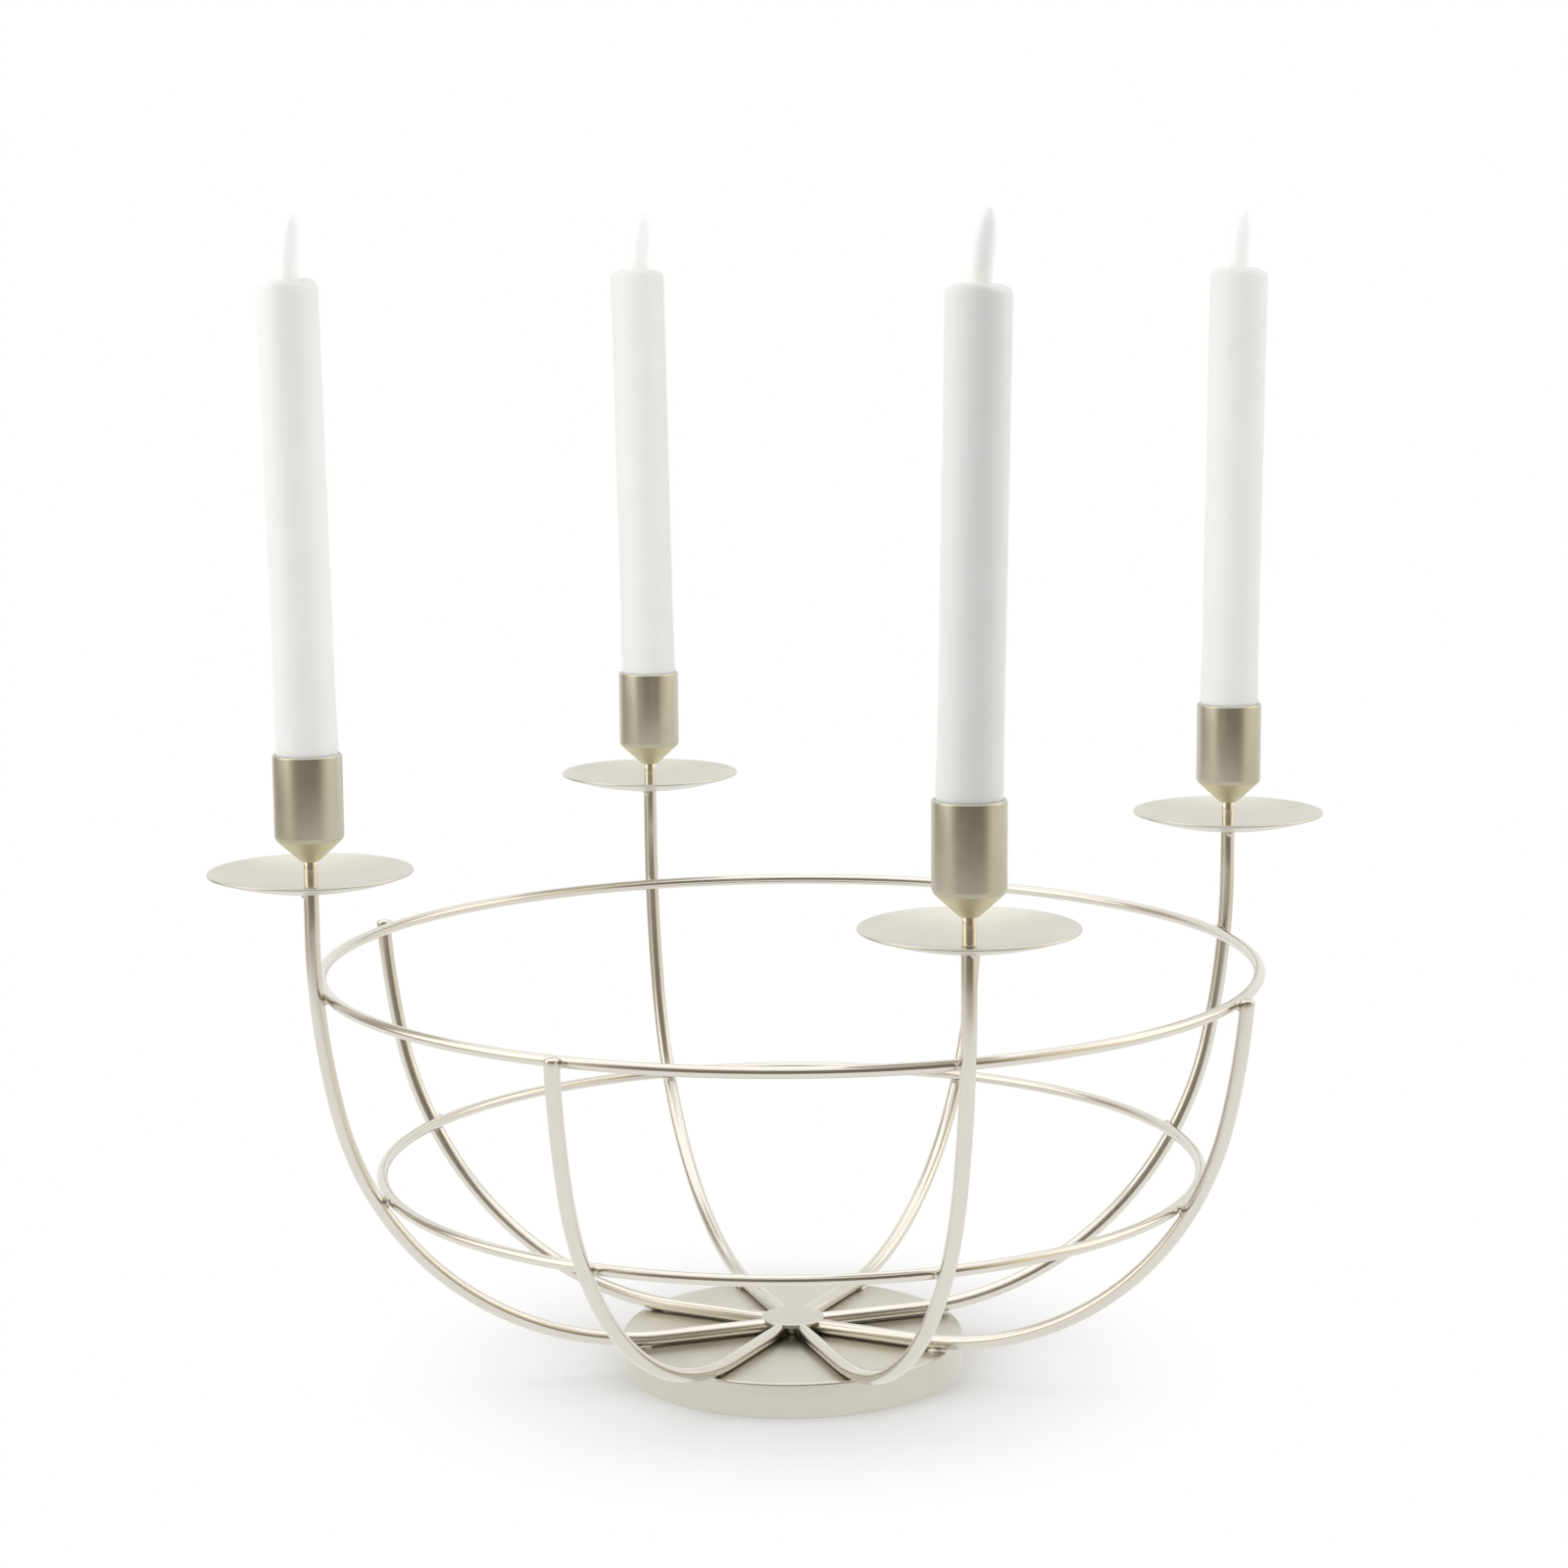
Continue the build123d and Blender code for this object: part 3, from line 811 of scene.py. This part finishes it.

# %% [markdown]
# ## The flame tips
# The flame is a moulding of milky plastic over a lamp. It is fullest at half its height, is drawn to a
# blunt point and leans a little. Light soaks into the plastic, which subsurface scattering gives, and a
# weak painted glow stands for the light that the thin moulding lets through. Near the foot the tint is
# slightly warmer, as painted shade of the lamp inside the moulding. A circle is extruded ring by ring, and
# each ring is scaled to a formula.

# %% Finish: moulded milky plastic
flame_low, flame_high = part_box("candle_flame_1")
flame_sink = 0.5 * mm  # how far the foot of the flame is sunk in the wax of the shortest candle
flame_foot = body_top - hollow - short_cut - flame_sink
flame_height = flame_high.z - flame_foot


def white_flame():
    """Milky plastic with its mould's grain, warmer near the foot as painted shade of the lamp inside."""
    mould_grain = 0.6 * mm
    grain_depth = 0.05 * mm
    # the warmer tint below this share of the height is painted shade of the lamp inside
    warm_share = 0.7
    warm_end = flame_foot + warm_share * flame_height
    light_reach = 4.0 * mm
    # a painted glow for the light that passes through the thin moulding
    passed_light = 0.07
    finish, tree, shader, coords = new_finish("white_flame")
    height = add_node(tree, "ShaderNodeSeparateXYZ", {0: coords}).outputs["Z"]
    rise = add_node(tree, "ShaderNodeMapRange", {0: height, 1: flame_foot, 2: warm_end},
                    interpolation_type="SMOOTHSTEP")
    tint = add_node(tree, "ShaderNodeMix", {0: rise.outputs[0], 6: colour("#f6f5ee"),
                                            7: colour("#fcfcfb")}, data_type="RGBA")
    grain = add_node(tree, "ShaderNodeTexNoise", {"Vector": coords, "Scale": 1 / mould_grain,
                                                  "Detail": 2.0})
    sheen = add_node(tree, "ShaderNodeMapRange", {0: grain.outputs[0], 3: 0.3, 4: 0.42})
    bump = add_node(tree, "ShaderNodeBump", {"Height": grain.outputs[0], "Strength": 0.08,
                                             "Distance": grain_depth})
    fill_sockets(tree, shader, {"Base Color": tint.outputs[2], "Roughness": sheen.outputs[0],
                                "Normal": bump.outputs[0], "IOR": 1.49, "Subsurface Weight": 1.0,
                                "Subsurface Radius": (1.0, 0.98, 0.94),
                                "Subsurface Scale": light_reach,
                                "Emission Color": colour("#ffffff"),
                                "Emission Strength": passed_light})
    return finish


milky_plastic = white_flame()
print("A flame is", round(flame_height / mm, 1), "mm high from its foot, which is sunk in the wax")

# %% Model a flame
stem_width = 2.45 * mm
foot_width = 3.55 * mm
belly_width = (flame_high.x - flame_low.x) / 2
tip_width = 0.15 * mm
belly_share = 0.5
flame_lean = 2.2 * mm
flame_rings = 26
flame_turns = {1: radians(-20), 2: radians(10), 3: 0.0, 4: radians(5)}
holding_gap = 0.01 * mm  # between the end of the stem and a loop that keeps its corner sharp


def flame_width(share):
    """Half the width of the flame at a share of its height, by a formula for a leaf shape."""
    if share < belly_share:
        return foot_width + (belly_width - foot_width) * sin(quarter * share / belly_share)
    rest = (share - belly_share) / (1 - belly_share)
    return max(belly_width * sqrt(1 - rest ** 2), tip_width)


fresh_start()
bpy.ops.mesh.primitive_circle_add(vertices=40, radius=stem_width, fill_type="NGON",
                                  location=(0, 0, flame_low.z))
flame = open_piece("flame_tip")
bpy.ops.mesh.select_all(action="SELECT")
extrude((0, 0, flame_foot - flame_low.z))
bpy.ops.mesh.inset(thickness=holding_gap, use_outset=True)
width = stem_width
last = Vector((0, 0, flame_foot))
for ring in range(flame_rings + 1):
    share = sin(quarter * ring / flame_rings)
    middle = Vector((flame_lean * share ** 2, 0, flame_foot + flame_height * share))
    extrude(middle - last)
    ratio = flame_width(share) / width
    bpy.ops.transform.resize(value=(ratio, ratio, 1), center_override=middle)
    width = flame_width(share)
    last = middle
close_skin(gap=holding_gap / 2)
for place, turn in flame_turns.items():
    piece = to_place(flame, f"flame_tip_{place}", place, turn - photo_turn)
    finish_piece(piece, milky_plastic, f"candle_{place}", f"candle_flame_{place}", crease=60)
bpy.data.objects.remove(flame)

# %% [markdown]
# ## The pieces inside
# Inside each candle sit a lamp board, two leads, a contact plate and two cells, closed below by a cap
# with a switch, and a screw holds each cup. They show only when a candle is lifted or taken apart, so the
# CAD solids stay as they are and each kind gets the finish of its real material.

# %% Finishes of the inner pieces


def plain_finish(name, dark, light, grain, metallic, smoothest, roughest, depth):
    """A finish whose tint and sheen vary with one noise, for pieces that are seldom seen."""
    finish, tree, shader, coords = new_finish(name)
    noise = add_node(tree, "ShaderNodeTexNoise", {"Vector": coords, "Scale": 1 / grain, "Detail": 3.0})
    tint = add_node(tree, "ShaderNodeMix", {0: noise.outputs[0], 6: colour(dark), 7: colour(light)},
                    data_type="RGBA")
    sheen = add_node(tree, "ShaderNodeMapRange", {0: noise.outputs[0], 3: smoothest, 4: roughest})
    bump = add_node(tree, "ShaderNodeBump", {"Height": noise.outputs[0], "Strength": 0.1,
                                             "Distance": depth})
    fill_sockets(tree, shader, {"Metallic": metallic, "Base Color": tint.outputs[2],
                                "Roughness": sheen.outputs[0], "Normal": bump.outputs[0]})
    return finish


# name, two tints, size of the grain, share of metal, two roughnesses and depth of the grain
inner_looks = {
    # zinc plating on a steel screw: cold grey with a slightly mottled shine
    "cup_screws": ("zinc_screw", "#a9abad", "#c6c8ca", 0.7 * mm, 1.0, 0.25, 0.4, 0.03 * mm),
    # glass laminate under green solder mask: glossy, with the weave just showing
    "led_board": ("green_board", "#1d5a36", "#2c7a4b", 0.5 * mm, 0.0, 0.25, 0.4, 0.02 * mm),
    # plastic sleeve shrunk on a steel can: smooth, dark and slightly glossy
    "battery_cells": ("cell_can", "#3c4046", "#50555c", 3.0 * mm, 0.0, 0.25, 0.38, 0.05 * mm),
    # rolled brass sheet: warm yellow, dulled by handling
    "contact_plate": ("contact_brass", "#b9975a", "#d0b074", 1.5 * mm, 1.0, 0.25, 0.4, 0.03 * mm),
    # soft sleeve of extruded plastic: dull red
    "lamp_leads": ("lead_sleeve", "#8e2a26", "#a63a33", 0.8 * mm, 0.0, 0.4, 0.55, 0.03 * mm),
    # moulded white plastic: satin with a fine spark-eroded grain
    "battery_cap": ("white_cap", "#e9e9e5", "#f2f2ef", 0.4 * mm, 0.0, 0.4, 0.55, 0.04 * mm),
    # moulded black plastic: satin, with a grain that greys it slightly
    "switch_slider": ("black_switch", "#18191a", "#26282a", 0.4 * mm, 0.0, 0.4, 0.55, 0.04 * mm),
}
inner_finishes = {kind: plain_finish(*look) for kind, look in inner_looks.items()}
for name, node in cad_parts.items():
    kind = name.rstrip("_1234")
    if kind in inner_finishes:
        node.data.materials.clear()
        node.data.materials.append(inner_finishes[kind])
print("Inner pieces finished:", ", ".join(inner_finishes))

# %% [markdown]
# ## The camera
# The camera stands where the photographer stood, level with the flames, and looks slightly down. Its
# place, lens and tilt were fitted to the photo, mainly to the bowl's round rings.

# %% Camera at the photo's angle
camera_distance = 1.2488
camera_height = 0.4097
camera_lens = 81.22
camera_sensor = 36.0
look_down = radians(8.878)
look_aside = radians(-0.077)
camera_roll = radians(-0.446)

camera = bpy.data.objects.new("photo_camera", bpy.data.cameras.new("photo_camera"))
bpy.context.scene.collection.objects.link(camera)
camera.data.sensor_width = camera_sensor
camera.data.lens = camera_lens
camera.matrix_world = (Matrix.Rotation(-photo_turn, 4, "Z")
                       @ Matrix.Translation((0, -camera_distance, camera_height))
                       @ Matrix.Rotation(-look_aside, 4, "Z")
                       @ Matrix.Rotation(quarter - look_down, 4, "X")
                       @ Matrix.Rotation(camera_roll, 4, "Z"))
bpy.context.scene.camera = camera
print("Camera stands at", [round(value, 3) for value in camera.matrix_world.translation])

# %% [markdown]
# ## The floor
# The picture has a plain white ground. The floor is a round of white paper that keeps the holder's shadow
# and fades to pure white away from it. A plain diffuse floor would show an edge and a grey far end, so the
# paper's shader is mixed with a white glow that only the camera, mirrors and glass see.

# %% Paper floor
paper_radius = 0.75
paper_height = -0.2 * mm
shadow_start = 0.05  # from here outwards the shadow fades
shadow_end = 0.16
mirror_share = 0.8  # of the white glow, where metal mirrors the paper


def stage_paint(name):
    """Start a material that is never sampled as a lamp, and return it with its tree and coordinates."""
    paint = bpy.data.materials.new(name)
    paint.use_nodes = True
    paint.cycles.emission_sampling = "NONE"
    tree = paint.node_tree
    tree.nodes.clear()
    return paint, tree, add_node(tree, "ShaderNodeTexCoord", {}).outputs["Object"]


def seen_directly(tree):
    """One where a ray comes from the camera, a mirror or glass, so that all three see the same ground."""
    path = add_node(tree, "ShaderNodeLightPath", {})
    shiny = add_node(tree, "ShaderNodeMath", {0: path.outputs["Is Camera Ray"],
                                              1: path.outputs["Is Glossy Ray"]}, operation="MAXIMUM")
    return add_node(tree, "ShaderNodeMath", {0: shiny.outputs[0], 1: path.outputs["Is Transmission Ray"]},
                    operation="MAXIMUM").outputs[0]


fresh_start()
bpy.ops.mesh.primitive_circle_add(vertices=128, radius=paper_radius, fill_type="NGON",
                                  location=(0, 0, paper_height))
paper = bpy.context.object
paper.name = "paper_floor"
paper_white, tree, coords = stage_paint("white_paper")
reach = add_node(tree, "ShaderNodeVectorMath", {0: coords}, operation="LENGTH").outputs["Value"]
fade = add_node(tree, "ShaderNodeMapRange", {0: reach, 1: shadow_start, 2: shadow_end},
                interpolation_type="SMOOTHSTEP").outputs[0]
glossy = add_node(tree, "ShaderNodeLightPath", {}).outputs["Is Glossy Ray"]
mirrored = add_node(tree, "ShaderNodeMath", {0: glossy, 1: mirror_share}, operation="MULTIPLY").outputs[0]
shown = add_node(tree, "ShaderNodeMath", {0: fade, 1: mirrored}, operation="MAXIMUM").outputs[0]
ground = add_node(tree, "ShaderNodeMath", {0: shown, 1: seen_directly(tree)},
                  operation="MULTIPLY").outputs[0]
matt = add_node(tree, "ShaderNodeBsdfDiffuse", {"Color": colour("#f7f7f7")})
bright = add_node(tree, "ShaderNodeEmission", {"Color": colour("#ffffff"), "Strength": 1.0})
both = add_node(tree, "ShaderNodeMixShader", {0: ground, 1: matt.outputs[0], 2: bright.outputs[0]})
add_node(tree, "ShaderNodeOutputMaterial", {"Surface": both.outputs[0]})
paper.data.materials.append(paper_white)
print("The paper is", 2 * paper_radius, "m wide, and the shadow ends", shadow_end, "m from the middle")

# %% [markdown]
# ## The reflection wall
# Polished metal shows the room it stands in. A round wall that only reflections can see plays that room:
# dark behind the camera, greyish at the left with one pale band, pale and warm at the right, and white
# behind the holder. Its colours are set by their angle from the camera, and low down they turn to one
# pale, warm tone.

# %% Wall for the reflections
wall_radius = 1.9
wall_low = -0.9
wall_high = 1.9
wall_middle = (wall_low + wall_high) / 2
skirt_start = -0.10 - wall_middle  # from here downwards the low tone comes in
skirt_end = -0.25 - wall_middle
skirt_share = 0.75
# angle from the camera in degrees, negative to its left, and the colour of the wall there
wall_bands = ((-140, "#ffffff"), (-118, "#b4aca2"), (-84, "#b8b0a4"), (-56, "#eae2d2"), (-38, "#958b80"),
              (0, "#80776d"), (42, "#80776d"), (62, "#f6ead2"), (92, "#f6efe2"), (112, "#f2ece2"),
              (135, "#ffffff"))

fresh_start()
bpy.ops.mesh.primitive_cylinder_add(vertices=96, radius=wall_radius, depth=wall_high - wall_low,
                                    end_fill_type="NOTHING", location=(0, 0, wall_middle))
wall = bpy.context.object
wall.name = "reflection_wall"
wall_paint, tree, coords = stage_paint("reflection_wall")
facing = add_node(tree, "ShaderNodeMapping", {"Vector": coords, "Rotation": (0, 0, photo_turn + quarter)})
around = add_node(tree, "ShaderNodeTexGradient", {"Vector": facing.outputs[0]}, gradient_type="RADIAL")
bands = add_node(tree, "ShaderNodeValToRGB", {0: around.outputs["Fac"]})
stops = bands.color_ramp.elements
for angle, code in wall_bands:
    stop = stops.new(0.5 + angle / 360)
    stop.color = colour(code)
stops.remove(stops[0])
stops.remove(stops[-1])
height = add_node(tree, "ShaderNodeSeparateXYZ", {0: coords}).outputs["Z"]
low_share = add_node(tree, "ShaderNodeMapRange", {0: height, 1: skirt_start, 2: skirt_end,
                                                  3: 0.0, 4: skirt_share})
paint = add_node(tree, "ShaderNodeMix", {0: low_share.outputs[0], 6: bands.outputs["Color"],
                                         7: colour("#dcd3c6")}, data_type="RGBA")
glow = add_node(tree, "ShaderNodeEmission", {"Color": paint.outputs[2], "Strength": 1.0})
add_node(tree, "ShaderNodeOutputMaterial", {"Surface": glow.outputs[0]})
wall.data.materials.append(wall_paint)
wall.visible_camera = False
wall.visible_diffuse = False
wall.visible_shadow = False
wall.visible_transmission = False
print("The wall has", len(stops), "colours round the room")

# %% [markdown]
# ## The light
# Three large softboxes stand to the left, to the right and above, and metal mirrors them. Two panels at
# the sides and a small card between the candles show in no mirror: they only lift the wax, the flames and
# the floor, until white wax looks white without burning out. The world fills the shadows, and the camera,
# mirrors and glass see it as pure white.

# %% World and lamps
fill_level = 0.44
aim_height = 0.3
world = bpy.data.worlds.new("white_room")
world.use_nodes = True
bpy.context.scene.world = world
tree = world.node_tree
tree.nodes.clear()
fill = add_node(tree, "ShaderNodeBackground", {"Color": colour("#ffffff"), "Strength": fill_level})
white = add_node(tree, "ShaderNodeBackground", {"Color": colour("#ffffff"), "Strength": 1.0})
both = add_node(tree, "ShaderNodeMixShader", {0: seen_directly(tree), 1: fill.outputs[0],
                                              2: white.outputs[0]})
add_node(tree, "ShaderNodeOutputWorld", {"Surface": both.outputs[0]})


def softbox(name, beside, height, distance, size, power, mirrored=True):
    """A square lamp aimed at the candles; beside is its angle from the camera in degrees, to the right."""
    lamp = bpy.data.lights.new(name, "AREA")
    lamp.shape = "SQUARE"
    lamp.size = size
    lamp.energy = power
    stand = bpy.data.objects.new(name, lamp)
    bpy.context.scene.collection.objects.link(stand)
    angle = radians(beside) - photo_turn
    stand.location = (distance * sin(angle), -distance * cos(angle), height)
    aim = Vector((0, 0, aim_height)) - stand.location
    stand.rotation_euler = aim.to_track_quat("-Z", "Y").to_euler()
    stand.visible_glossy = mirrored
    stand.visible_camera = False
    print(name, "stands at", [round(value, 2) for value in stand.location], "with", power, "W")


softbox("left_softbox", beside=-80, height=0.9, distance=1.5, size=1.4, power=6.5)
softbox("right_softbox", beside=100, height=0.9, distance=1.5, size=1.2, power=3.0)
softbox("left_panel", beside=-65, height=0.55, distance=0.65, size=0.8, power=1.5, mirrored=False)
softbox("right_panel", beside=78, height=0.55, distance=0.65, size=0.8, power=1.4, mirrored=False)
softbox("middle_card", beside=0, height=0.32, distance=0.14, size=0.2, power=0.10, mirrored=False)
softbox("top_softbox", beside=180, height=1.8, distance=0.3, size=2.4, power=7.5)

# %% [markdown]
# ## View transform
# The render shows its colours through the Standard view transform. The dressed part should be no larger
# than the part it stands for.

# %% Set the view transform
bpy.context.scene.view_settings.view_transform = "Standard"
